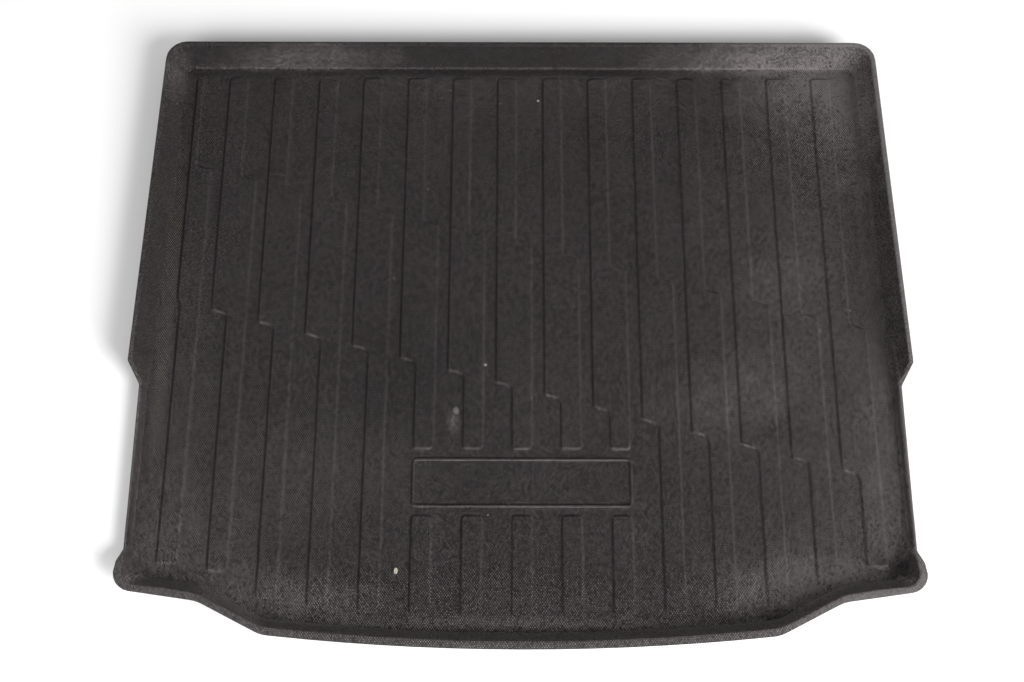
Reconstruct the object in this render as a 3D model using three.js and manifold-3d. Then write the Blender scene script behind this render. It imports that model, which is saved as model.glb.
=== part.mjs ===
// Boot liner mat of a car: one moulded rubber tray with a flared wall and a turned-out lip.
// Raised bands run lengthwise over its floor and step sideways along two slanting lines.
// A bare raised frame interrupts the middle bands near the loading edge.
// Millimetres, +Z up, +X across the car, +Y towards the seats, origin under the middle.

import * as THREE from 'three';
import { mergeVertices } from 'three/addons/utils/BufferGeometryUtils.js';
import Module from 'manifold-3d';

const wasm = await Module();
wasm.setup();

// Sheet
const sheet = 3;
const footFillet = 5;
const lipRounding = 4.5;

// Heights of the lip above the ground
const tallWallHeight = 40;
const lowWallHeight = 16;
const earSideHeight = 25;
const frontWallHeight = 30;

// Widths of the turned-out lip
const tallLip = 6.5;
const lowLip = 5.5;
const frontLip = 9.5;

// Floor plan at the foot of the wall, each across value from the middle line
const backY = 402;
const backHalf = 477.5;
const notchTopY = -38;
const notchTopHalf = 486;
const notchBottomY = -76;
const notchBottomHalf = 491.5;
const earTopY = -290;
const earTopHalf = 490;
const earSideY = -311;
const earSideHalf = 477;
const earCornerY = -333;
const earCornerHalf = 473;
const sweepTopY = -340;
const sweepTopHalf = 403.5;
const sweepBottomY = -384;
const sweepBottomHalf = 319;
const frontPeakY = -416.5;

// How far the edge of the lip lies outside the foot of the wall, across and lengthwise
const tallFlare = 22.5;
const notchFlare = 24;
const notchTopShift = -19;
const lowFlare = 7;
const notchBottomShift = -6;
const earTopShift = -10;
const earSideFlare = 26.5;
const earSideShift = -9;
const earFlare = 30.5;
const earShift = -19.5;
const sweepTopFlare = -5.5;
const sweepTopShift = -27.5;
const sweepBottomFlare = -2;
const frontShift = -24.5;

// Corner radii in plan, at the foot and at the lip
const backFootRadius = 12;
const backLipRadius = 28;
const notchFootRadius = 30;
const notchRadius = 6;
const earTopRadius = 14;
const earSideRadius = 16;
const earFootRadius = 12;
const earLipRadius = 24;
const sweepRadius = 45;
const frontRadius = 3000;

// Raised bands
const bandPitch = 63.8;
const bandWidth = 29.2;
const bandStep = 21.3;
const bandRise = 2.5;
const bandSlope = 3.2;
const bandRadius = 6.5;
const middleBandLeft = -33.8;
const bandSideMargin = 14;
const bandBackMargin = 14;
const bandFrontMargin = 17;
const narrowestBand = 11;
const bandReach = backHalf - bandSideMargin;

// Slanting lines along which the bands step, given at the middle band
const upperLineY = 135;
const lowerLineY = -75;
const lineSlope = -0.266;

// Bare frame
const frameMiddleY = -209.5;
const frameLength = 66;
const frameBead = 4.5;
const frameRise = 1.6;
const frameSlope = 1.2;
const frameRadius = 7;
const gapAboveFrame = 9.5;
const gapBelowFrame = 9;
const firstFramedBand = -2;
const lastFramedBand = 2;

// Fineness of the mesh
const stationSpacing = 42;
const broadArcSteps = 14;
const cornerSteps = 5;
const sweepSteps = 3;
const smallCornerSteps = 2;
const smallestRadius = 0.2;

const rubberColour = 0x3f3b3b;

// A corner of an outline, with its rounding and the number of steps along it
function corner(x, y, radius = 0, steps = 1) {
  return { x, y, radius, steps };
}

// Unit directions and lengths of the sides that follow each corner
function sidesOf(corners, closed) {
  const count = closed ? corners.length : corners.length - 1;
  return Array.from({ length: count }, (_, i) => {
    const next = corners[(i + 1) % corners.length];
    const along = new THREE.Vector2(next.x - corners[i].x, next.y - corners[i].y);
    return { length: along.length(), direction: along.normalize() };
  });
}

// The sides that meet at a corner; the ends of an open outline have only one
function sidesAt(sides, index, closed) {
  const last = sides.length - 1;
  const before = closed ? sides.at(index - 1) : sides[Math.max(index - 1, 0)];
  const after = sides[Math.min(index, last)];
  return { before, after };
}

function turnBetween(before, after) {
  const cross = before.direction.cross(after.direction);
  return Math.atan2(cross, before.direction.dot(after.direction));
}

// Moves every side to its right by a distance; the roundings keep their centres
function offsetCorners(corners, distance, closed) {
  const sides = sidesOf(corners, closed);
  return corners.map((point, i) => {
    const { before, after } = sidesAt(sides, i, closed);
    const turn = turnBetween(before, after);
    const forwards = distance * Math.tan(turn / 2);
    const { x, y } = before.direction;
    const moved = corner(
      point.x + distance * y + forwards * x,
      point.y - distance * x + forwards * y,
      point.radius,
      point.steps,
    );
    if (point.radius > 0) {
      moved.radius = Math.max(point.radius + Math.sign(turn) * distance, smallestRadius);
    }
    return moved;
  });
}

// Length that each rounding takes from its sides, limited by what the sides leave
function roundingReaches(corners, sides, closed) {
  const wanted = corners.map((point, i) => {
    const { before, after } = sidesAt(sides, i, closed);
    return point.radius * Math.tan(Math.abs(turnBetween(before, after)) / 2);
  });
  const largestShare = 0.98;
  return wanted.map((reach, i) => {
    const { before, after } = sidesAt(sides, i, closed);
    const previous = wanted.at(i - 1);
    const next = wanted[(i + 1) % wanted.length];
    const share = Math.min(
      before.length / (reach + previous || 1),
      after.length / (reach + next || 1),
    );
    return reach * Math.min(share * largestShare, 1);
  });
}

// Points along one rounding, from its first tangent point to its last
function roundingPoints(point, before, after, reach) {
  if (point.radius === 0) {
    return [new THREE.Vector2(point.x, point.y)];
  }
  const turn = turnBetween(before, after);
  const radius = reach / Math.tan(Math.abs(turn) / 2);
  const side = Math.sign(turn);
  const start = new THREE.Vector2(point.x, point.y).addScaledVector(before.direction, -reach);
  const inward = new THREE.Vector2(-before.direction.y, before.direction.x).multiplyScalar(side);
  const centre = start.clone().addScaledVector(inward, radius);
  return Array.from({ length: point.steps + 1 }, (_, k) => {
    return start.clone().rotateAround(centre, (turn * k) / point.steps);
  });
}

// Points of an outline with rounded corners; each knows how far along the corners it lies
function outlinePoints(corners, closed, sideSteps = []) {
  const sides = sidesOf(corners, closed);
  const reaches = roundingReaches(corners, sides, closed);
  const arcs = corners.map((point, i) => {
    const { before, after } = sidesAt(sides, i, closed);
    return roundingPoints(point, before, after, reaches[i]);
  });
  return arcs.flatMap((arc, i) => {
    const points = arc.map((at) => ({ at, place: i }));
    const steps = sideSteps[i] ?? 1;
    const next = arcs[(i + 1) % arcs.length][0];
    for (let k = 1; k < steps; k += 1) {
      points.push({ at: arc.at(-1).clone().lerp(next, k / steps), place: i + k / steps });
    }
    return points;
  });
}

// How many parts each side is divided into, so that none is longer than a spacing
function sideStepCounts(corners, spacing) {
  const sides = sidesOf(corners, true);
  const reaches = roundingReaches(corners, sides, true);
  return sides.map(({ length }, i) => {
    const straight = length - reaches[i] - reaches[(i + 1) % reaches.length];
    return Math.ceil(straight / spacing);
  });
}

// Closed body through rings of equal counts, the first capped above and the last below
function loftedBody(rings) {
  const count = rings[0].length;
  const positions = rings.flat().flatMap((point) => [point.x, point.y, point.z]);
  const faces = [];
  for (let ring = 0; ring < rings.length - 1; ring += 1) {
    for (let i = 0; i < count; i += 1) {
      const near = ring * count + i;
      const beside = ring * count + ((i + 1) % count);
      faces.push(near, near + count, beside + count, near, beside + count, beside);
    }
  }
  const capFaces = (ring) => THREE.ShapeUtils.triangulateShape(ring, []);
  const lastStart = (rings.length - 1) * count;
  faces.push(...capFaces(rings[0]).flat());
  const lastFaces = capFaces(rings.at(-1)).map((face) => face.reverse());
  faces.push(...lastFaces.flat().map((index) => lastStart + index));
  const geometry = new THREE.BufferGeometry();
  geometry.setAttribute('position', new THREE.Float32BufferAttribute(positions, 3));
  geometry.setIndex(faces);
  return geometry;
}

function solidFrom(geometry) {
  const bare = geometry.clone();
  bare.deleteAttribute('normal');
  bare.deleteAttribute('uv');
  const merged = mergeVertices(bare);
  return new wasm.Manifold(new wasm.Mesh({
    numProp: 3,
    vertProperties: new Float32Array(merged.attributes.position.array),
    triVerts: new Uint32Array(merged.index.array),
  }));
}

function geometryFrom(solid) {
  const mesh = solid.getMesh();
  const geometry = new THREE.BufferGeometry();
  geometry.setAttribute('position', new THREE.BufferAttribute(mesh.vertProperties, 3));
  geometry.setIndex(new THREE.BufferAttribute(mesh.triVerts, 1));
  return geometry;
}

// Corners of the wall on the right half, from the back to the front.
// Each has its place at the foot and at the edge of the lip, its height and its lip.
function rightWallCorners() {
  const wallCorner = (foot, lipEdge, height, lip) => ({ foot, lipEdge, height, lip });
  return [
    wallCorner(
      corner(backHalf, backY, backFootRadius, cornerSteps),
      corner(backHalf + tallFlare, backY + tallFlare, backLipRadius, cornerSteps),
      tallWallHeight, tallLip,
    ),
    wallCorner(
      corner(notchTopHalf, notchTopY, notchFootRadius, smallCornerSteps),
      corner(notchTopHalf + notchFlare, notchTopY + notchTopShift, notchRadius, smallCornerSteps),
      tallWallHeight, tallLip,
    ),
    wallCorner(
      corner(notchBottomHalf, notchBottomY, notchFootRadius, smallCornerSteps),
      corner(notchBottomHalf + lowFlare, notchBottomY + notchBottomShift, notchRadius, smallCornerSteps),
      lowWallHeight, lowLip,
    ),
    wallCorner(
      corner(earTopHalf, earTopY, earTopRadius, smallCornerSteps),
      corner(earTopHalf + lowFlare, earTopY + earTopShift, notchRadius, smallCornerSteps),
      lowWallHeight, lowLip,
    ),
    wallCorner(
      corner(earSideHalf, earSideY, earSideRadius, smallCornerSteps),
      corner(earSideHalf + earSideFlare, earSideY + earSideShift, earSideRadius, smallCornerSteps),
      earSideHeight, frontLip,
    ),
    wallCorner(
      corner(earCornerHalf, earCornerY, earFootRadius, cornerSteps),
      corner(earCornerHalf + earFlare, earCornerY + earShift, earLipRadius, cornerSteps),
      frontWallHeight, frontLip,
    ),
    wallCorner(
      corner(sweepTopHalf, sweepTopY, sweepRadius, sweepSteps),
      corner(sweepTopHalf + sweepTopFlare, sweepTopY + sweepTopShift, sweepRadius, sweepSteps),
      frontWallHeight, frontLip,
    ),
    wallCorner(
      corner(sweepBottomHalf, sweepBottomY, sweepRadius, sweepSteps),
      corner(sweepBottomHalf + sweepBottomFlare, sweepBottomY + frontShift, sweepRadius, sweepSteps),
      frontWallHeight, frontLip,
    ),
  ];
}

// All corners of the wall, counter-clockwise from above
function wallCorners() {
  const mirrored = (point) => corner(-point.x, point.y, point.radius, point.steps);
  const right = rightWallCorners();
  const left = right.map(({ foot, lipEdge, height, lip }) => {
    return { foot: mirrored(foot), lipEdge: mirrored(lipEdge), height, lip };
  });
  const frontMiddle = {
    foot: corner(0, frontPeakY, frontRadius, broadArcSteps),
    lipEdge: corner(0, frontPeakY + frontShift, frontRadius, broadArcSteps),
    height: frontWallHeight,
    lip: frontLip,
  };
  return [...left, frontMiddle, ...right.reverse()];
}

// Section of the wall from the floor to the edge of the lip and back to the underside.
// Its first value runs outwards from the foot, its second is the height.
function wallSection(run, height, lip) {
  const inner = [
    corner(-footFillet, sheet),
    corner(0, sheet, footFillet, smallCornerSteps),
    corner(run - lip, height, lipRounding, smallCornerSteps),
    corner(run, height),
  ];
  const outer = offsetCorners(inner, sheet, false);
  const innerPoints = outlinePoints(inner, false);
  const outerPoints = outlinePoints(outer, false);
  return [...innerPoints, ...outerPoints.reverse()].map(({ at }) => at);
}

// Stations round the wall, each with its foot, its lip edge, its height and its lip
function wallStations() {
  const corners = wallCorners();
  const feet = corners.map((row) => row.foot);
  const edges = corners.map((row) => row.lipEdge);
  const sideSteps = sideStepCounts(feet, stationSpacing);
  const footPoints = outlinePoints(feet, true, sideSteps);
  const edgePoints = outlinePoints(edges, true, sideSteps);
  return footPoints.map(({ at, place }, i) => {
    const from = corners[Math.floor(place)];
    const to = corners[(Math.floor(place) + 1) % corners.length];
    const share = place % 1;
    return {
      foot: at,
      edge: edgePoints[i].at,
      height: THREE.MathUtils.lerp(from.height, to.height, share),
      lip: THREE.MathUtils.lerp(from.lip, to.lip, share),
    };
  });
}

// The tray without its bands: floor, flared wall and lip in one sheet
function tray(stations) {
  const sections = stations.map(({ foot, edge, height, lip }) => {
    const outwards = edge.clone().sub(foot);
    const run = outwards.length();
    outwards.normalize();
    return wallSection(run, height, lip).map((point) => {
      const at = foot.clone().addScaledVector(outwards, point.x);
      return new THREE.Vector3(at.x, at.y, point.y);
    });
  });
  const rings = sections[0].map((_, ring) => sections.map((section) => section[ring]));
  return solidFrom(loftedBody(rings));
}

// Tapered body on an outline: its insets at two heights set how its sides slope
function taperedBody(corners, top, bottom) {
  const ringAt = ({ height, inset }) => {
    const points = outlinePoints(offsetCorners(corners, -inset, true), true);
    return points.map(({ at }) => new THREE.Vector3(at.x, at.y, height));
  };
  return solidFrom(loftedBody([ringAt(top), ringAt(bottom)]));
}

// How far along the tray the front foot of the wall lies at a place across it.
// Past its two ends the front goes on straight across.
function frontFootAt(x, stations) {
  const feet = stations.map(({ foot }) => foot).filter(({ y }) => y < earTopY);
  const places = feet.map((foot) => foot.x);
  const across = THREE.MathUtils.clamp(x, Math.min(...places), Math.max(...places));
  const next = feet.findIndex((foot, i) => i > 0 && feet[i - 1].x < foot.x && foot.x >= across);
  const before = feet[next - 1];
  const after = feet[next];
  return THREE.MathUtils.mapLinear(across, before.x, after.x, before.y, after.y);
}

// One side of a band, from its top to its bottom: it steps where it meets a slanting line
function bandSide(x, lineY, top, bottom) {
  const steppedX = x + bandStep;
  const lineAt = (across) => lineY + lineSlope * (across - middleBandLeft);
  if (lineAt(x) >= top) {
    return [[steppedX, top], [steppedX, bottom]];
  }
  if (lineAt(steppedX) <= bottom) {
    return [[x, top], [x, bottom]];
  }
  return [[x, top], [x, lineAt(x)], [steppedX, lineAt(steppedX)], [steppedX, bottom]];
}

// Outline of a band between two places along the tray, counter-clockwise.
// Its left side steps at the lower slanting line and its right side at the upper one.
function bandCorners(index, top, bottom) {
  const left = middleBandLeft + index * bandPitch;
  const leftSide = bandSide(left, lowerLineY, top, bottom);
  const rightSide = bandSide(left + bandWidth, upperLineY, top, bottom);
  return [...leftSide, ...rightSide.reverse()].map(([x, y]) => {
    const within = THREE.MathUtils.clamp(x, -bandReach, bandReach);
    return corner(within, y, bandRadius, smallCornerSteps);
  });
}

// Outlines of all bands; the frame cuts those in the middle in two
function allBands(stations) {
  const reach = bandReach - narrowestBand;
  const top = backY - bandBackMargin;
  const first = Math.ceil((-reach - middleBandLeft - bandWidth) / bandPitch);
  const last = Math.floor((reach - middleBandLeft - bandStep) / bandPitch);
  const bands = [];
  for (let index = first; index <= last; index += 1) {
    const lowerLeft = middleBandLeft + bandStep + index * bandPitch;
    const bottom = frontFootAt(lowerLeft, stations) + bandFrontMargin;
    if (index < firstFramedBand || index > lastFramedBand) {
      bands.push(bandCorners(index, top, bottom));
    } else {
      bands.push(bandCorners(index, top, frameMiddleY + frameLength / 2 + gapAboveFrame));
      bands.push(bandCorners(index, frameMiddleY - frameLength / 2 - gapBelowFrame, bottom));
    }
  }
  return bands;
}

// The root of a raised shape, in the middle of the sheet. The sides go on down to it
// at their slope, so that they leave the floor right on the outline.
function rootOf(rise, slope) {
  const depth = sheet / 2;
  return { height: sheet - depth, inset: -(depth * slope) / rise };
}

function bandBoss(corners) {
  const top = { height: sheet + bandRise, inset: bandSlope };
  return taperedBody(corners, top, rootOf(bandRise, bandSlope));
}

// The hollow under a band, which leaves the sheet its thickness
function bandHollow(corners) {
  const slopeAngle = Math.atan2(bandRise, bandSlope);
  const setIn = sheet * Math.tan(slopeAngle / 2);
  const below = 1;
  return taperedBody(
    corners,
    { height: bandRise, inset: setIn + bandSlope },
    { height: -below, inset: setIn - (below * bandSlope) / bandRise },
  );
}

// The raised bead round the bare place, as wide as the bands that it interrupts
function frameBeadBody() {
  const left = middleBandLeft + bandStep + firstFramedBand * bandPitch;
  const right = middleBandLeft + bandStep + bandWidth + lastFramedBand * bandPitch;
  const top = frameMiddleY + frameLength / 2;
  const bottom = frameMiddleY - frameLength / 2;
  const outline = [[right, top], [left, top], [left, bottom], [right, bottom]]
    .map(([x, y]) => corner(x, y, frameRadius, sweepSteps));
  const above = 1;
  const topHeight = sheet + frameRise;
  const bead = taperedBody(
    outline,
    { height: topHeight, inset: frameSlope },
    rootOf(frameRise, frameSlope),
  );
  const middle = taperedBody(
    outline,
    { height: topHeight + above, inset: frameBead - frameSlope - (above * frameSlope) / frameRise },
    { height: sheet, inset: frameBead },
  );
  return bead.subtract(middle);
}

function bootLinerGeometry() {
  const stations = wallStations();
  const bands = allBands(stations);
  const bosses = bands.map(bandBoss);
  const hollows = bands.map(bandHollow);
  const raised = bosses.reduce((body, boss) => body.add(boss), tray(stations));
  const embossed = hollows.reduce((body, hollow) => body.subtract(hollow), raised);
  const geometry = geometryFrom(embossed.add(frameBeadBody()));
  geometry.computeBoundingBox();
  const middle = geometry.boundingBox.getCenter(new THREE.Vector3());
  geometry.translate(-middle.x, -middle.y, 0);
  return geometry;
}

function bootLiner() {
  const material = new THREE.MeshStandardMaterial({
    color: rubberColour,
    roughness: 0.75,
    metalness: 0,
    flatShading: true,
  });
  const mesh = new THREE.Mesh(bootLinerGeometry(), material);
  mesh.name = 'boot_liner_tray';
  return mesh;
}

const part = new THREE.Group();
part.add(bootLiner());

export default part;
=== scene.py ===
import math

import bmesh
import bpy
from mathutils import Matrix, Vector


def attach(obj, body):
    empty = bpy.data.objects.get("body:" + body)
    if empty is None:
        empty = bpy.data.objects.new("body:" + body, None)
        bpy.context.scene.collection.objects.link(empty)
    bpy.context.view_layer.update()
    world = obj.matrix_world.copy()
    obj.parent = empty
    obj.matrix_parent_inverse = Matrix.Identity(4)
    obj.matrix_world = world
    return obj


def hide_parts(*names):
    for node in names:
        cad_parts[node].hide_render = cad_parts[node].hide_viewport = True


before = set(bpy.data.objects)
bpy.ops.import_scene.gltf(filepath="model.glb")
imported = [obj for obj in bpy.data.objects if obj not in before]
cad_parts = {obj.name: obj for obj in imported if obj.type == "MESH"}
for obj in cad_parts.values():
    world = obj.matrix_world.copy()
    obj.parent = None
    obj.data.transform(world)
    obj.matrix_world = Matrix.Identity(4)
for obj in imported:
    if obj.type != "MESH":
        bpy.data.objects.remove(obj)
bpy.context.view_layer.update()

MM = 0.001

# Heights on the tray
BAND_TOP = 5.5 * MM
LOWEST_LIP = 16.0 * MM

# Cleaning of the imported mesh
SAME_PLACE = 0.002 * MM
SAME_PLANE = math.radians(0.4)
QUAD_BEND = math.radians(15)
QUAD_SKEW = math.radians(60)

# Rounding of the moulded edges, and how much of a narrow face or a short edge it may take
ROUNDING = 1.3 * MM
ROUNDING_STEPS = 2
RIM_ROUNDING = 0.8 * MM
FACE_SHARE = 0.42
SHORT_EDGE_SHARE = 0.45
TOO_SHORT = 1.0 * MM
BAND_REACH = 466 * MM
SHARP_ANGLE = math.radians(24)
RIM_ANGLE = math.radians(60)
LEVEL = 0.05 * MM
FLAT = 0.9999
FACE_AREA_WEIGHT = 80

# Grain pressed into the rubber: millimetres on the surface, and how far grooves and crests reach
GRAIN_WIDTH = 3.1
GRAIN_LENGTH = 4.4
GRAIN_DEPTH = 0.8 * MM
GRAIN_RISE = (0.03, 0.34)
GROOVE_EDGE = (0.05, 0.24, 1.0, 0.0)
WALL_STRETCH = 1.09
WALL_FACING = 0.7
WALL_CALM = 0.25
WALL_SPARK = 0.15

# Flecks on the skin of the rubber
FLECK_SIZE = 1.4
FLECK_SHIFT = 1.2
FLECK_RARITY = 3.0
FLECK_STRENGTH = 2.6

# Relief: its depth, beside that of the grain
BROAD_DEPTH = 2.0 * MM
SKIN_DEPTH = 0.08 * MM
SKIN_STRENGTH = 0.5

# Noises: scale, detail, roughness and distortion
HAZE_NOISE = (9.0, 6.0, 0.6, 0.4)
TONE_NOISE = (5.0, 4.0, 0.6, 0.0)
TINT_NOISE = (13.0, 3.0, 0.6, 0.0)
SHINE_NOISE = (30.0, 4.0, 0.6, 0.0)
BROAD_NOISE = (11.0, 2.0, 0.5, 0.0)
SKIN_NOISE = (1400.0, 3.0, 0.6, 0.0)
FLECK_NOISE = (900.0, 2.0, 0.6, 0.0)
PATCH_NOISE = (26.0, 6.0, 0.7, 0.0)
SCUFF_NOISE = (42.0, 6.0, 0.7, 0.6)

# Colours
RUBBER_DARK = (0.0058, 0.0052, 0.0047, 1)
RUBBER_LIGHT = (0.0085, 0.0070, 0.0074, 1)
CREST_COLOUR = (0.148, 0.127, 0.133, 1)
CREST_OLIVE = (0.144, 0.129, 0.116, 1)
GROOVE_COLOUR = (0.0030, 0.0026, 0.0026, 1)
RUBBED_COLOUR = (0.210, 0.195, 0.195, 1)
# Also the colour of the painted highlight and fill light
DUST_AND_PAINTED_LIGHT_COLOUR = (0.170, 0.153, 0.153, 1)
LEFT_STRIP_COLOUR = (0.190, 0.168, 0.148, 1)
RIGHT_STRIP_COLOUR = (0.210, 0.192, 0.184, 1)
LINT_COLOUR = (0.50, 0.47, 0.38, 1)
BOARD_COLOUR = (0.86, 0.86, 0.86, 1)

# How strongly each colour shows
CREST_SHARE = 0.265
GROOVE_SHARE = 0.8
RUBBED_SHARE = 0.6
LEFT_STRIP_SHARE = 0.34
RIGHT_STRIP_SHARE = 0.22
LINT_SHARE = 0.8

# Dust: on the whole tray, on single diamonds, on the sides of the bands and on the front wall; on the
# band sides that face right it is a painted highlight, and on the front wall's inner face painted fill
# light
HAZE_RANGE = (0.30, 0.70, 0.0, 0.03)
DUST_ON_CRESTS = 1.5
DUST_IN_GROOVES = 0.15
FRONT_END_DUST = 0.35
# Painted highlight on the band sides that face right
RIGHT_SIDE_PAINTED_HIGHLIGHT = 0.04
# Painted fill light on the front wall's inner face
FRONT_WALL_PAINTED_FILL = 0.50
DUST_RAGGEDNESS = 1.2

# Painted shade on the band sides that face back or left and at the back wall's foot; less dust on the
# middle of the back wall
# Painted shade on the band sides that face back or left
PAINTED_SIDE_SHADE = 0.44
CLEAN_BACK = 0.42
# Painted shade in the crease at the back wall's foot
PAINTED_FOOT_SHADE = 0.60

# How far the surface turns towards a side, from where a mask starts to where it is full
TURNED_BACK = (0.20, 0.45)
TURNED_LEFT = (-0.20, -0.45)
TURNED_RIGHT = (0.20, 0.45)
TURNED_TO_FRONT = (-0.20, -0.55)
FRONT_WALL_TURN = (0.20, 0.60)
LIP_TURN = (0.55, 0.90)

# Where a mask starts and where it is full, in metres, and its two values where they aren't 0 and 1
BANDS_FRONT = (0.29, 0.36, -0.378, -0.330)
FRONT_ENDS = (-0.36, -0.28, 0.1, 1.0)
BACK_WALL_ALONG = (0.388, 0.396)
BACK_WALL_ACROSS = (0.32, 0.14)
BACK_WALL_HEIGHT = (9 * MM, 6 * MM, -CLEAN_BACK, -PAINTED_FOOT_SHADE)
FRONT_WALL_ALONG = (-0.26, -0.32)
FRONT_WALL_HEIGHT = (3 * MM, 6 * MM)
LIP_HEIGHT = (LOWEST_LIP - 4 * MM, LOWEST_LIP - 1 * MM)

# Dusty strips beside the side walls: the same for each measure of the surface
LEFT_STRIP = {
    "x": ((-0.463, -0.468), (-0.486, -0.480)),
    "y": ((0.34, 0.08), (-0.20, -0.12)),
    "z": ((10 * MM, 5 * MM),),
    "grain": ((0.55, 0.95),),
}
RIGHT_STRIP = {
    "x": ((0.460, 0.466), (0.490, 0.483)),
    "y": ((-0.14, -0.02),),
    "z": ((12 * MM, 6 * MM),),
    "grain": ((0.35, 0.90),),
}

# Parts of a noise's values that a blend of tones takes
TONE_RANGE = (0.3, 0.7)
TINT_RANGE = (0.40, 0.62)

# Rubbed places: the lip by its place across and along, and streaks on the floor
RUBBED_LEFT = (-0.15, 0.10, 0.40, 0.08)
RUBBED_ACROSS = (0.20, 0.48)
RUBBED_RIGHT = 0.95
SCUFF_SHARE = 0.3
SCUFF_AMOUNT = 0.45
SCUFF_STRETCH = (0.35, 1.6, 1.0)
FLOOR_SCUFFS = (-0.30, -0.40, 0.03, 0.20)
RUBBED_ON_CRESTS = 0.6
RUBBED_EVERYWHERE = 0.4

# Lint: scattered specks, and the raggedness and extent of the single bits
SPECK_SCALE = 70.0
SPECK_SHARE = 0.03
SPECK_SIZE = 0.06
BIT_RAGGEDNESS = 0.5
BIT_EXTENT = 0.25

# Gloss
ROUGHNESS_LEAST = 0.36
ROUGHNESS_NOISE = 0.16
ROUGHNESS_CHANCE = 0.12
ROUGHNESS_DUST = 0.5
SPECULAR_LEVEL = 0.13
BOARD_ROUGHNESS = 0.9

# Places of dust on the tray in millimetres: centre, half size and strength; some on the right wall are
# painted fill light, and the one with negative strength is painted shade
DUST_AND_PAINTED_LIGHT_PATCHES = (
    ((430, 60, 3), (210, 460, 60), 0.12),
    ((470, 390, 12), (190, 120, 60), 0.55),
    ((455, 375, 3), (80, 50, 8), 0.30),
    # Painted fill light lifting the right wall's shaded inner face
    ((500, 320, 20), (50, 120, 60), 0.30),
    ((484, 110, 4), (18, 330, 6), 0.14),
    # Painted fill light lifting the right wall's shaded inner face
    ((508, 150, 20), (34, 380, 60), 0.18),
    ((480, -230, 10), (70, 200, 40), 0.20),
    # Painted fill light narrowing the shade at the low right wall's foot
    ((488, -210, 4), (8, 170, 6), 0.30),
    ((496, -185, 17), (7, 160, 6), 1.30),
    ((-497, -170, 10), (14, 140, 14), 0.14),
    # Negative strength: painted shade in the right ear's pocket
    ((476, -322, 8), (30, 26, 40), -0.30),
    ((353, 74, 3), (70, 60, 10), 0.10),
    ((304, -86, 3), (100, 60, 10), 0.14),
    ((230, -110, 3), (80, 60, 10), 0.09),
    ((-300, 412, 20), (130, 20, 34), 0.50),
    ((330, 412, 20), (200, 24, 34), 0.28),
    ((-360, 401, 6), (130, 8, 12), 0.34),
    ((330, 401, 6), (200, 9, 12), 0.14),
    ((0, 380, 3), (470, 26, 6), 0.05),
    ((-460, -180, 3), (60, 390, 5), 0.10),
    ((-500, 385, 25), (30, 50, 40), 0.30),
    ((462, 290, 3), (44, 120, 30), 0.24),
    ((-250, -190, 3), (170, 90, 10), 0.10),
    ((0, 370, 3), (480, 60, 6), 0.05),
    ((-420, -290, 3), (130, 110, 6), 0.12),
    ((-470, -330, 14), (60, 40, 30), 0.08),
    ((0, -375, 3), (500, 40, 10), 0.06),
    ((0, -391, 4), (430, 11, 8), 0.34),
    ((380, -345, 4), (170, 46, 12), 0.42),
    ((-310, -365, 4), (160, 46, 12), 0.26),
    ((400, -300, 3), (120, 60, 6), 0.08),
    ((-84, -113, 3), (4, 6, 10), 4.00),
    ((-88, -127, 3), (10, 17, 10), 0.55),
)

# Places where the rubber is darker, in the same way
DARK_PATCHES = (
    ((-160, -50, 3), (160, 260, 20), 0.24),
)

# Single bits that lie on the tray: centre and half size
BITS = (
    ((-156, -324, 4), (3, 5, 3)),
    ((25, 351, 4), (2, 2, 3)),
    ((-46, -49, 4), (2, 2, 3)),
    ((-41, -252, 4), (1, 1, 3)),
    ((-144, -422, 16), (5, 3, 4)),
    ((250, -414, 16), (4, 3, 4)),
)

# Camera, fitted to the photograph
IMAGE_WIDTH = 1024
FOCAL_PIXELS = 1420.0
CAMERA_PLACE = (-0.0093, -0.6893, 1.770)
CAMERA_TILT = math.radians(20.89)
CAMERA_ROLL = math.radians(0.15)
SENSOR_WIDTH = 36.0

# Studio: place, size and power of each light, and the floor just under the tray
KEY_LIGHT = ((2.4, -2.2, 1.9), 2.0, 270.0)
FILL_LIGHT = ((-1.9, -2.3, 2.3), 2.2, 60.0)
ROOM_COLOUR = (1, 1, 1, 1)
ROOM_STRENGTH = 0.42
STUDIO_FLOOR_SIZE = 14.0
STUDIO_FLOOR_HEIGHT = -0.5 * MM


# Modelling helpers

def select_only(piece):
    """Makes one piece the only selected and the active one."""
    bpy.ops.object.select_all(action="DESELECT")
    piece.select_set(True)
    bpy.context.view_layer.objects.active = piece


def apply_modifier(piece, kind, **settings):
    """Adds a modifier to a piece, sets it and applies it."""
    select_only(piece)
    modifier = piece.modifiers.new(kind.title(), kind)
    for name, value in settings.items():
        setattr(modifier, name, value)
    bpy.ops.object.modifier_apply(modifier=modifier.name)


def copy_of_solid(node_name, piece_name):
    """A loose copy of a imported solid, with a mesh of its own."""
    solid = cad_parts[node_name]
    piece = solid.copy()
    piece.data = solid.data.copy()
    piece.name = piece_name
    piece.data.name = piece_name
    piece.parent = None
    piece.data.materials.clear()
    bpy.context.collection.objects.link(piece)
    return piece


def select_faces(piece, chosen):
    """Selects the faces whose highest point a rule accepts, and leaves the piece in edit mode."""
    select_only(piece)
    bpy.ops.object.mode_set(mode="EDIT")
    bpy.ops.mesh.select_mode(type="FACE")
    bpy.ops.mesh.select_all(action="DESELECT")
    bpy.ops.object.mode_set(mode="OBJECT")
    heights = [corner.co.z for corner in piece.data.vertices]
    for face in piece.data.polygons:
        face.select = chosen(max(heights[index] for index in face.vertices))
    bpy.ops.object.mode_set(mode="EDIT")


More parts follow.
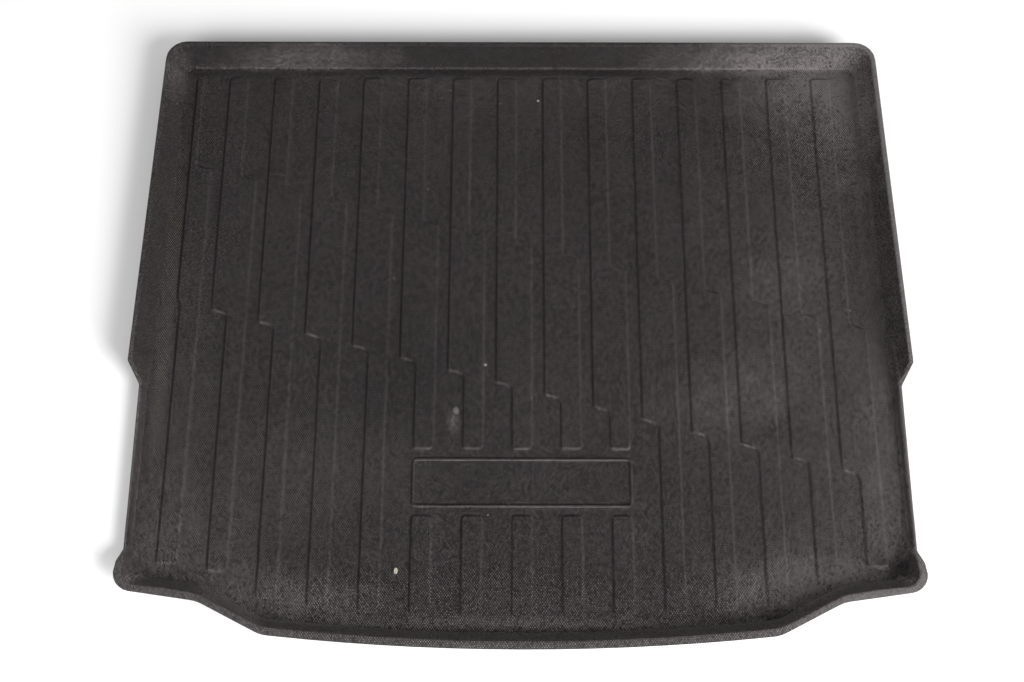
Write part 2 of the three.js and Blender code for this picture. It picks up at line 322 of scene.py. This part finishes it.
def clean_faces(piece):
    """Joins the loose triangles: single faces on the floor, four-sided ones on the wall."""
    select_only(piece)
    bpy.ops.object.mode_set(mode="EDIT")
    bpy.ops.mesh.select_all(action="SELECT")
    bpy.ops.mesh.remove_doubles(threshold=SAME_PLACE)
    bpy.ops.object.mode_set(mode="OBJECT")
    select_faces(piece, lambda highest: highest < BAND_TOP + LEVEL)
    bpy.ops.mesh.dissolve_limited(angle_limit=SAME_PLANE)
    bpy.ops.object.mode_set(mode="OBJECT")
    select_faces(piece, lambda highest: highest >= BAND_TOP + LEVEL)
    bpy.ops.mesh.tris_convert_to_quads(face_threshold=QUAD_BEND, shape_threshold=QUAD_SKEW)
    bpy.ops.object.mode_set(mode="OBJECT")


def is_sharp(edge):
    return edge.calc_face_angle(0.0) >= SHARP_ANGLE


def face_width(face):
    return face.calc_area() / max(edge.calc_length() for edge in face.edges)


def wanted_rounding(edge):
    """Rounding of an edge by its kind: the rim, or the bands and the frame on the floor."""
    high = max(corner.co.z for corner in edge.verts)
    if high > BAND_TOP + LEVEL:
        return RIM_ROUNDING if edge.calc_face_angle(0.0) > RIM_ANGLE else 0.0
    among_bands = all(abs(corner.co.x) < BAND_REACH for corner in edge.verts)
    beside_flat = any(abs(face.normal.z) > FLAT for face in edge.link_faces)
    return ROUNDING if is_sharp(edge) and beside_flat and among_bands else 0.0


def rounding_share(edge):
    """How much of the full rounding an edge takes, so that no two roundings meet."""
    neighbours = [beside for end in edge.verts for beside in end.link_edges if is_sharp(beside)]
    shortest = min((beside.calc_length() for beside in neighbours), default=ROUNDING)
    if shortest < TOO_SHORT:
        return 0.0
    narrowest = min(face_width(face) for face in edge.link_faces)
    room = min(FACE_SHARE * narrowest, SHORT_EDGE_SHARE * shortest)
    return min(wanted_rounding(edge), room) / ROUNDING


def weigh_edges(piece):
    """Writes each edge's share of the rounding into the mesh."""
    mesh = bmesh.new()
    mesh.from_mesh(piece.data)
    share = mesh.edges.layers.float.new("bevel_weight_edge")
    for edge in mesh.edges:
        edge[share] = rounding_share(edge)
    mesh.to_mesh(piece.data)
    mesh.free()


def moulded_tray():
    """The tray with its edges softened as a mould leaves them."""
    tray = copy_of_solid("boot_liner_tray", "moulded_tray")
    clean_faces(tray)
    weigh_edges(tray)
    apply_modifier(
        tray, "BEVEL", width=ROUNDING, segments=ROUNDING_STEPS, limit_method="WEIGHT",
        miter_outer="MITER_ARC", use_clamp_overlap=False,
    )
    select_only(tray)
    bpy.ops.object.shade_smooth()
    apply_modifier(tray, "WEIGHTED_NORMAL", weight=FACE_AREA_WEIGHT, keep_sharp=False)
    return tray


# Node helpers

class Bench:
    """Places nodes in a tree and joins them."""

    def __init__(self, tree):
        self.tree = tree

    def put(self, kind, inputs=None, **settings):
        node = self.tree.nodes.new(kind)
        for name, value in settings.items():
            setattr(node, name, value)
        for name, value in (inputs or {}).items():
            self.feed(node.inputs[name], value)
        return node

    def feed(self, socket, value):
        if isinstance(value, bpy.types.NodeSocket):
            self.tree.links.new(value, socket)
        else:
            socket.default_value = value

    def use(self, group, inputs):
        """Places a node group and gives its outputs."""
        return self.put("ShaderNodeGroup", inputs, node_tree=group).outputs

    def math(self, operation, *values, clamp=False):
        inputs = dict(enumerate(values))
        return self.put("ShaderNodeMath", inputs, operation=operation, use_clamp=clamp).outputs[0]

    def product(self, first, *others, clamp=False):
        for other in others:
            first = self.math("MULTIPLY", first, other, clamp=clamp)
        return first

    def add_share(self, base, value, share):
        """The base with a share of a value added to it."""
        return self.math("MULTIPLY_ADD", value, share, base)

    def vector(self, operation, *values, output=0):
        inputs = dict(enumerate(values))
        return self.put("ShaderNodeVectorMath", inputs, operation=operation).outputs[output]

    def ramp(self, value, low, high, to_low=0.0, to_high=1.0):
        """A smooth step from one value to another."""
        inputs = {"Value": value, "From Min": low, "From Max": high, "To Min": to_low, "To Max": to_high}
        return self.put("ShaderNodeMapRange", inputs, interpolation_type="SMOOTHSTEP").outputs[0]

    def blend(self, factor, first, second):
        inputs = {0: factor, 2: first, 3: second}
        return self.put("ShaderNodeMix", inputs, data_type="FLOAT").outputs[0]

    def blend_vectors(self, factor, first, second):
        inputs = {0: factor, 4: first, 5: second}
        return self.put("ShaderNodeMix", inputs, data_type="VECTOR").outputs[1]

    def blend_colours(self, factor, first, second):
        inputs = {0: factor, 6: first, 7: second}
        return self.put("ShaderNodeMix", inputs, data_type="RGBA").outputs[2]

    def noise(self, vector, settings):
        scale, detail, roughness, distortion = settings
        inputs = {
            "Vector": vector, "Scale": scale, "Detail": detail,
            "Roughness": roughness, "Distortion": distortion,
        }
        return self.put("ShaderNodeTexNoise", inputs).outputs[0]

    def cell_chance(self, cell):
        """A chance value for each whole place on a plane."""
        chance = self.put("ShaderNodeTexWhiteNoise", {"Vector": cell}, noise_dimensions="2D")
        return chance.outputs["Value"]

    def bump(self, height, depth, strength=1.0, normal=None):
        inputs = {"Strength": strength, "Distance": depth, "Height": height}
        if normal is not None:
            inputs["Normal"] = normal
        return self.put("ShaderNodeBump", inputs).outputs[0]

    def split(self, vector):
        return self.put("ShaderNodeSeparateXYZ", {0: vector}).outputs

    def join(self, x, y, z=0.0):
        return self.put("ShaderNodeCombineXYZ", {0: x, 1: y, 2: z}).outputs[0]


FLOAT = "NodeSocketFloat"
VECTOR = "NodeSocketVector"


def new_group(name, inputs, outputs):
    """An empty node group with its sockets; gives the group, its bench and its two ends."""
    group = bpy.data.node_groups.new(name, "ShaderNodeTree")
    for label, kind in inputs:
        group.interface.new_socket(label, in_out="INPUT", socket_type=kind)
    for label, kind in outputs:
        group.interface.new_socket(label, in_out="OUTPUT", socket_type=kind)
    bench = Bench(group)
    start = bench.put("NodeGroupInput").outputs
    end = bench.put("NodeGroupOutput").inputs
    return group, bench, start, end


def surface_plane_group():
    """Millimetres along the surface: across and along the floor, or along and up a wall."""
    group, bench, start, end = new_group(
        "Surface plane", [("Place", VECTOR), ("Facing", VECTOR)], [("Plane", VECTOR), ("Wall", FLOAT)],
    )
    x, y, z = bench.split(bench.vector("MULTIPLY", start["Place"], (1 / MM, 1 / MM, 1 / MM)))
    facing = bench.split(bench.vector("ABSOLUTE", start["Facing"]))
    up = bench.math("MULTIPLY", z, WALL_STRETCH)
    side_wall = bench.math("GREATER_THAN", facing[0], facing[1])
    on_wall = bench.blend_vectors(side_wall, bench.join(x, up), bench.join(y, up))
    wall = bench.math("LESS_THAN", facing[2], WALL_FACING)
    bench.feed(end["Plane"], bench.blend_vectors(wall, bench.join(x, y), on_wall))
    bench.feed(end["Wall"], wall)
    return group


def diamond_grain_group():
    """Raised diamonds with grooves between them, and a chance value for each diamond."""
    group, bench, start, end = new_group(
        "Diamond grain",
        [("Plane", VECTOR), ("Width", FLOAT), ("Length", FLOAT)],
        [("Height", FLOAT), ("Groove", FLOAT), ("Chance", FLOAT)],
    )
    half = 0.5
    x, y, _ = bench.split(start["Plane"])
    across = bench.math("DIVIDE", x, start["Width"])
    along = bench.math("DIVIDE", y, start["Length"])
    rising = bench.math("ADD", across, along)
    falling = bench.math("SUBTRACT", across, along)
    nearest = bench.math(
        "MINIMUM", bench.math("PINGPONG", rising, half), bench.math("PINGPONG", falling, half),
    )
    cell = bench.join(bench.math("FLOOR", rising), bench.math("FLOOR", falling))
    bench.feed(end["Height"], bench.ramp(nearest, *GRAIN_RISE))
    bench.feed(end["Groove"], bench.ramp(nearest, *GROOVE_EDGE))
    bench.feed(end["Chance"], bench.cell_chance(cell))
    return group


def flecks_group():
    """A chance value for each fleck of the rubber's skin, most of them low."""
    group, bench, start, end = new_group(
        "Skin flecks", [("Plane", VECTOR), ("Place", VECTOR), ("Size", FLOAT)], [("Chance", FLOAT)],
    )
    shift = bench.math("MULTIPLY", bench.noise(start["Place"], FLECK_NOISE), FLECK_SHIFT)
    back = bench.math("MULTIPLY", shift, -1.0)
    ragged = bench.vector("ADD", start["Plane"], bench.join(shift, back))
    sizes = bench.join(start["Size"], start["Size"], 1.0)
    cell = bench.vector("FLOOR", bench.vector("DIVIDE", ragged, sizes))
    bench.feed(end["Chance"], bench.math("POWER", bench.cell_chance(cell), FLECK_RARITY))
    return group


def patch_group():
    """An oval patch with a ragged edge."""
    group, bench, start, end = new_group(
        "Patch",
        [("Place", VECTOR), ("Centre", VECTOR), ("Half Size", VECTOR), ("Raggedness", FLOAT)],
        [("Mask", FLOAT)],
    )
    farthest = 1.25
    away = bench.vector("SUBTRACT", start["Place"], start["Centre"])
    reach = bench.vector("LENGTH", bench.vector("DIVIDE", away, start["Half Size"]), output=1)
    rough = bench.math("SUBTRACT", bench.noise(start["Place"], PATCH_NOISE), 0.5)
    ragged = bench.add_share(reach, rough, start["Raggedness"])
    bench.feed(end["Mask"], bench.ramp(ragged, 0.0, farthest, 1.0, 0.0))
    return group


def specks_group():
    """Small scattered specks, of which a few show."""
    group, bench, start, end = new_group(
        "Specks",
        [("Place", VECTOR), ("Scale", FLOAT), ("Share", FLOAT), ("Size", FLOAT)],
        [("Mask", FLOAT)],
    )
    cells = bench.put("ShaderNodeTexVoronoi", {"Vector": start["Place"], "Scale": start["Scale"]})
    chosen = bench.math("LESS_THAN", bench.split(cells.outputs["Color"])[0], start["Share"])
    near = bench.math("LESS_THAN", cells.outputs["Distance"], start["Size"])
    bench.feed(end["Mask"], bench.product(chosen, near))
    return group


def scuffs_group():
    """Thin rubbed streaks that run mostly across."""
    group, bench, start, end = new_group(
        "Scuffs", [("Place", VECTOR), ("Amount", FLOAT)], [("Mask", FLOAT)],
    )
    fewest = 0.72
    more = 0.3
    softness = 0.12
    stretched = bench.vector("MULTIPLY", start["Place"], SCUFF_STRETCH)
    low = bench.math("SUBTRACT", fewest, bench.math("MULTIPLY", start["Amount"], more))
    high = bench.math("ADD", low, softness)
    bench.feed(end["Mask"], bench.ramp(bench.noise(stretched, SCUFF_NOISE), low, high))
    return group


class Surface:
    """What the rubber's material knows of each point: its place, its facing and its grain."""

    def __init__(self, bench):
        self.bench = bench
        self.place = bench.put("ShaderNodeTexCoord").outputs["Object"]
        facing = bench.put("ShaderNodeNewGeometry").outputs["Normal"]
        self.x, self.y, self.z = bench.split(self.place)
        self.sideways, self.ahead, self.up = bench.split(facing)
        self.away = bench.math("ABSOLUTE", self.x)
        plane, self.wall = bench.use(surface_plane_group(), {"Place": self.place, "Facing": facing})
        self.grain, groove, self.chance = bench.use(
            diamond_grain_group(), {"Plane": plane, "Width": GRAIN_WIDTH, "Length": GRAIN_LENGTH},
        )
        self.printed = bench.add_share(1.0, self.wall, -WALL_CALM)
        self.groove = bench.product(groove, self.printed)
        self.fleck = bench.use(
            flecks_group(), {"Plane": plane, "Place": self.place, "Size": FLECK_SIZE},
        )[0]
        self.spark = self.crest_spark()
        self.grainy = bench.add_share(DUST_IN_GROOVES, self.spark, DUST_ON_CRESTS)
        self.scuffs = bench.use(scuffs_group(), {"Place": self.place, "Amount": SCUFF_AMOUNT})[0]
        self.patches = patch_group()

    def crest_spark(self):
        """How bright each crest of the grain is, calmer on the walls."""
        bench = self.bench
        crest = bench.math("SUBTRACT", 1.0, self.groove)
        spark = bench.product(bench.add_share(self.chance, self.fleck, FLECK_STRENGTH), crest)
        return bench.blend(bench.product(self.wall, WALL_CALM), spark, WALL_SPARK)

    def patch(self, centre, half_size, raggedness):
        """Mask of an oval patch, given in millimetres."""
        return self.bench.use(self.patches, {
            "Place": self.place,
            "Centre": [value * MM for value in centre],
            "Half Size": [value * MM for value in half_size],
            "Raggedness": raggedness,
        })[0]


def among_bands(surface):
    """Mask of the region of the bands, up to their height."""
    bench = surface.bench
    front = bench.ramp(surface.away, *BANDS_FRONT)
    return bench.product(
        bench.math("LESS_THAN", surface.z, BAND_TOP + MM),
        bench.math("GREATER_THAN", surface.y, front),
        bench.math("LESS_THAN", surface.away, BAND_REACH),
    )


def bare_and_shade_share(surface, bands):
    """How much dust and crest brightness is left: painted shade on band sides that face back or left and
    at the back wall's foot, less dust on the back wall, and darker patches.
    """
    bench = surface.bench
    # Painted shade: less dust and darker crests on the band sides turned back or left
    turned_back = bench.ramp(surface.ahead, *TURNED_BACK)
    turned_left = bench.ramp(surface.sideways, *TURNED_LEFT)
    shaded_side = bench.product(bench.math("MAXIMUM", turned_back, turned_left), bands)
    bare_and_shade = bench.add_share(1.0, shaded_side, -PAINTED_SIDE_SHADE)
    back_wall = bench.product(
        bench.ramp(surface.y, *BACK_WALL_ALONG), bench.ramp(surface.x, *BACK_WALL_ACROSS),
    )
    # The back wall has less dust, with painted shade in the crease at its foot
    less_dust_and_foot_shade = bench.ramp(surface.z, *BACK_WALL_HEIGHT)
    bare_and_shade = bench.product(bare_and_shade, bench.add_share(1.0, less_dust_and_foot_shade, back_wall))
    for centre, half_size, strength in DARK_PATCHES:
        mask = surface.patch(centre, half_size, DUST_RAGGEDNESS)
        bare_and_shade = bench.product(bare_and_shade, bench.add_share(1.0, mask, -strength))
    return bare_and_shade


def dust_haze_and_painted_light(surface, bands):
    """Fine dust: thin everywhere, thicker in patches, on the front and right sides and the front wall; on
    the right sides it is a painted highlight, on the front wall and in some patches on the right wall
    painted fill light, and a patch with negative strength takes it away as painted shade.
    """
    bench = surface.bench
    haze_and_painted_light = bench.ramp(bench.noise(surface.place, HAZE_NOISE), *HAZE_RANGE)
    for centre, half_size, strength in DUST_AND_PAINTED_LIGHT_PATCHES:
        haze_and_painted_light = bench.add_share(haze_and_painted_light, surface.patch(centre, half_size, DUST_RAGGEDNESS), strength)
    # Painted highlight on the band sides that face right, carried as dust
    right_side_highlight = bench.product(bench.ramp(surface.sideways, *TURNED_RIGHT), bands)
    haze_and_painted_light = bench.add_share(haze_and_painted_light, right_side_highlight, RIGHT_SIDE_PAINTED_HIGHLIGHT)
    front_end = bench.product(
        bench.ramp(surface.ahead, *TURNED_TO_FRONT), bands, bench.ramp(surface.y, *FRONT_ENDS),
    )
    haze_and_painted_light = bench.add_share(haze_and_painted_light, front_end, FRONT_END_DUST)
    # Painted fill light on the front wall's inner face, carried as dust
    front_wall_fill = bench.product(
        bench.ramp(surface.ahead, *FRONT_WALL_TURN), bench.ramp(surface.y, *FRONT_WALL_ALONG),
        bench.ramp(surface.z, *FRONT_WALL_HEIGHT),
    )
    return bench.add_share(haze_and_painted_light, front_wall_fill, FRONT_WALL_PAINTED_FILL)


def rubbed_places(surface):
    """The lip, rubbed grey where load is dragged over it, and faint streaks on the floor."""
    bench = surface.bench
    lip = bench.product(bench.ramp(surface.z, *LIP_HEIGHT), bench.ramp(surface.up, *LIP_TURN))
    wear = bench.ramp(surface.x, *RUBBED_ACROSS, bench.ramp(surface.y, *RUBBED_LEFT), RUBBED_RIGHT)
    rubbed = bench.product(
        lip, bench.add_share(wear, surface.scuffs, SCUFF_SHARE),
        bench.add_share(RUBBED_EVERYWHERE, surface.grainy, RUBBED_ON_CRESTS),
    )
    floor_scuffs = bench.product(surface.scuffs, bench.ramp(surface.y, *FLOOR_SCUFFS))
    return bench.math("MAXIMUM", rubbed, floor_scuffs)


def strip_mask(surface, strip, share):
    """A dusty strip, where dust lies mostly on the diamonds."""
    bench = surface.bench
    ramps = [
        bench.ramp(getattr(surface, measure), *limits)
        for measure, pairs in strip.items() for limits in pairs
    ]
    return bench.product(*ramps, share)


def lint_mask(surface):
    """Scattered specks, and the single bits at their places."""
    bench = surface.bench
    lint = bench.use(specks_group(), {
        "Place": surface.place, "Scale": SPECK_SCALE, "Share": SPECK_SHARE, "Size": SPECK_SIZE,
    })[0]
    for centre, half_size in BITS:
        mask = surface.patch(centre, half_size, BIT_RAGGEDNESS)
        lint = bench.math("MAXIMUM", lint, bench.math("GREATER_THAN", mask, BIT_EXTENT))
    return lint


def rubber_colour(surface, bare_and_shade, dust_and_painted_light):
    """Colour of the rubber with its grain, its wear and all that lies on it, with painted shade,
    highlight and fill light carried in the dust and crest layers.
    """
    bench = surface.bench
    tone = bench.ramp(bench.noise(surface.place, TONE_NOISE), *TONE_RANGE)
    tint = bench.ramp(bench.noise(surface.place, TINT_NOISE), *TINT_RANGE)
    colour = bench.blend_colours(tone, RUBBER_DARK, RUBBER_LIGHT)
    crest_colour = bench.blend_colours(tint, CREST_COLOUR, CREST_OLIVE)
    layers = (
        (bench.product(surface.spark, bare_and_shade, CREST_SHARE), crest_colour),
        (bench.product(surface.groove, GROOVE_SHARE), GROOVE_COLOUR),
        (bench.product(rubbed_places(surface), RUBBED_SHARE), RUBBED_COLOUR),
        (dust_and_painted_light, DUST_AND_PAINTED_LIGHT_COLOUR),
        (strip_mask(surface, LEFT_STRIP, LEFT_STRIP_SHARE), LEFT_STRIP_COLOUR),
        (strip_mask(surface, RIGHT_STRIP, RIGHT_STRIP_SHARE), RIGHT_STRIP_COLOUR),
        (bench.product(lint_mask(surface), LINT_SHARE), LINT_COLOUR),
    )
    for share, layer_colour in layers:
        colour = bench.blend_colours(share, colour, layer_colour)
    return colour


def rubber_material():
    """Dull black moulded rubber: diamond grain, haze of dust, rubbed rim, scuffs and lint, with painted
    shade, highlight and fill light.
    """
    material = bpy.data.materials.new("worn_black_rubber")
    material.use_nodes = True
    tree = material.node_tree
    tree.nodes.clear()
    bench = Bench(tree)
    shader = bench.put("ShaderNodeBsdfPrincipled")
    output = bench.put("ShaderNodeOutputMaterial")
    bench.feed(output.inputs["Surface"], shader.outputs["BSDF"])

    surface = Surface(bench)
    bands = among_bands(surface)
    bare_and_shade = bare_and_shade_share(surface, bands)
    # Dust, with the painted highlight, fill light and shade carried in the same mask
    haze_and_painted_light = bench.product(dust_haze_and_painted_light(surface, bands), bare_and_shade)
    dust_and_painted_light = bench.product(haze_and_painted_light, surface.grainy, clamp=True)
    bench.feed(shader.inputs["Base Color"], rubber_colour(surface, bare_and_shade, dust_and_painted_light))

    shine = bench.add_share(ROUGHNESS_LEAST, bench.noise(surface.place, SHINE_NOISE), ROUGHNESS_NOISE)
    shine = bench.add_share(shine, surface.chance, ROUGHNESS_CHANCE)
    roughness = bench.math("MULTIPLY_ADD", dust_and_painted_light, ROUGHNESS_DUST, shine, clamp=True)
    bench.feed(shader.inputs["Roughness"], roughness)
    bench.feed(shader.inputs["Specular IOR Level"], SPECULAR_LEVEL)

    # Relief: broad unevenness of the sheet, diamond grain, and the skin of the rubber
    broad = bench.bump(bench.noise(surface.place, BROAD_NOISE), BROAD_DEPTH)
    pressed = bench.bump(bench.product(surface.grain, surface.printed), GRAIN_DEPTH, normal=broad)
    skin = bench.bump(bench.noise(surface.place, SKIN_NOISE), SKIN_DEPTH, SKIN_STRENGTH, pressed)
    bench.feed(shader.inputs["Normal"], skin)
    return material


# Studio

def pale_material():
    """Plain matt board."""
    material = bpy.data.materials.new("pale_board")
    material.use_nodes = True
    shader = material.node_tree.nodes["Principled BSDF"]
    shader.inputs["Base Color"].default_value = BOARD_COLOUR
    shader.inputs["Roughness"].default_value = BOARD_ROUGHNESS
    return material


def studio_floor():
    """A wide pale floor for the tray to lie on."""
    bpy.ops.object.select_all(action="DESELECT")
    bpy.ops.mesh.primitive_plane_add(size=STUDIO_FLOOR_SIZE, location=(0, 0, STUDIO_FLOOR_HEIGHT))
    floor = bpy.context.object
    floor.name = "studio_floor"
    floor.data.materials.append(pale_material())


def soft_light(name, place, size, power):
    """A large square light aimed at the tray."""
    lamp = bpy.data.lights.new(name, "AREA")
    lamp.size = size
    lamp.energy = power
    holder = bpy.data.objects.new(name, lamp)
    holder.location = place
    holder.rotation_euler = (-Vector(place)).to_track_quat("-Z", "Y").to_euler()
    bpy.context.collection.objects.link(holder)


def studio_lights():
    """Key light low from the front right, a weaker one from the front left, and pale surroundings."""
    soft_light("key_light", *KEY_LIGHT)
    soft_light("fill_light", *FILL_LIGHT)
    world = bpy.data.worlds.new("pale_room")
    world.use_nodes = True
    background = world.node_tree.nodes["Background"]
    background.inputs["Color"].default_value = ROOM_COLOUR
    background.inputs["Strength"].default_value = ROOM_STRENGTH
    bpy.context.scene.world = world
    bpy.context.scene.view_settings.view_transform = "Standard"


def studio_camera():
    """The camera above the loading edge, looking down at the tray."""
    lens = bpy.data.cameras.new("camera")
    lens.sensor_width = SENSOR_WIDTH
    lens.lens = FOCAL_PIXELS / IMAGE_WIDTH * SENSOR_WIDTH
    camera = bpy.data.objects.new("camera", lens)
    camera.location = CAMERA_PLACE
    camera.rotation_euler = (CAMERA_TILT, 0.0, CAMERA_ROLL)
    bpy.context.collection.objects.link(camera)
    bpy.context.scene.camera = camera


studio_camera()
studio_floor()
studio_lights()

tray = moulded_tray()
tray.data.materials.append(rubber_material())
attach(tray, "root")
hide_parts("boot_liner_tray")

bpy.context.view_layer.update()
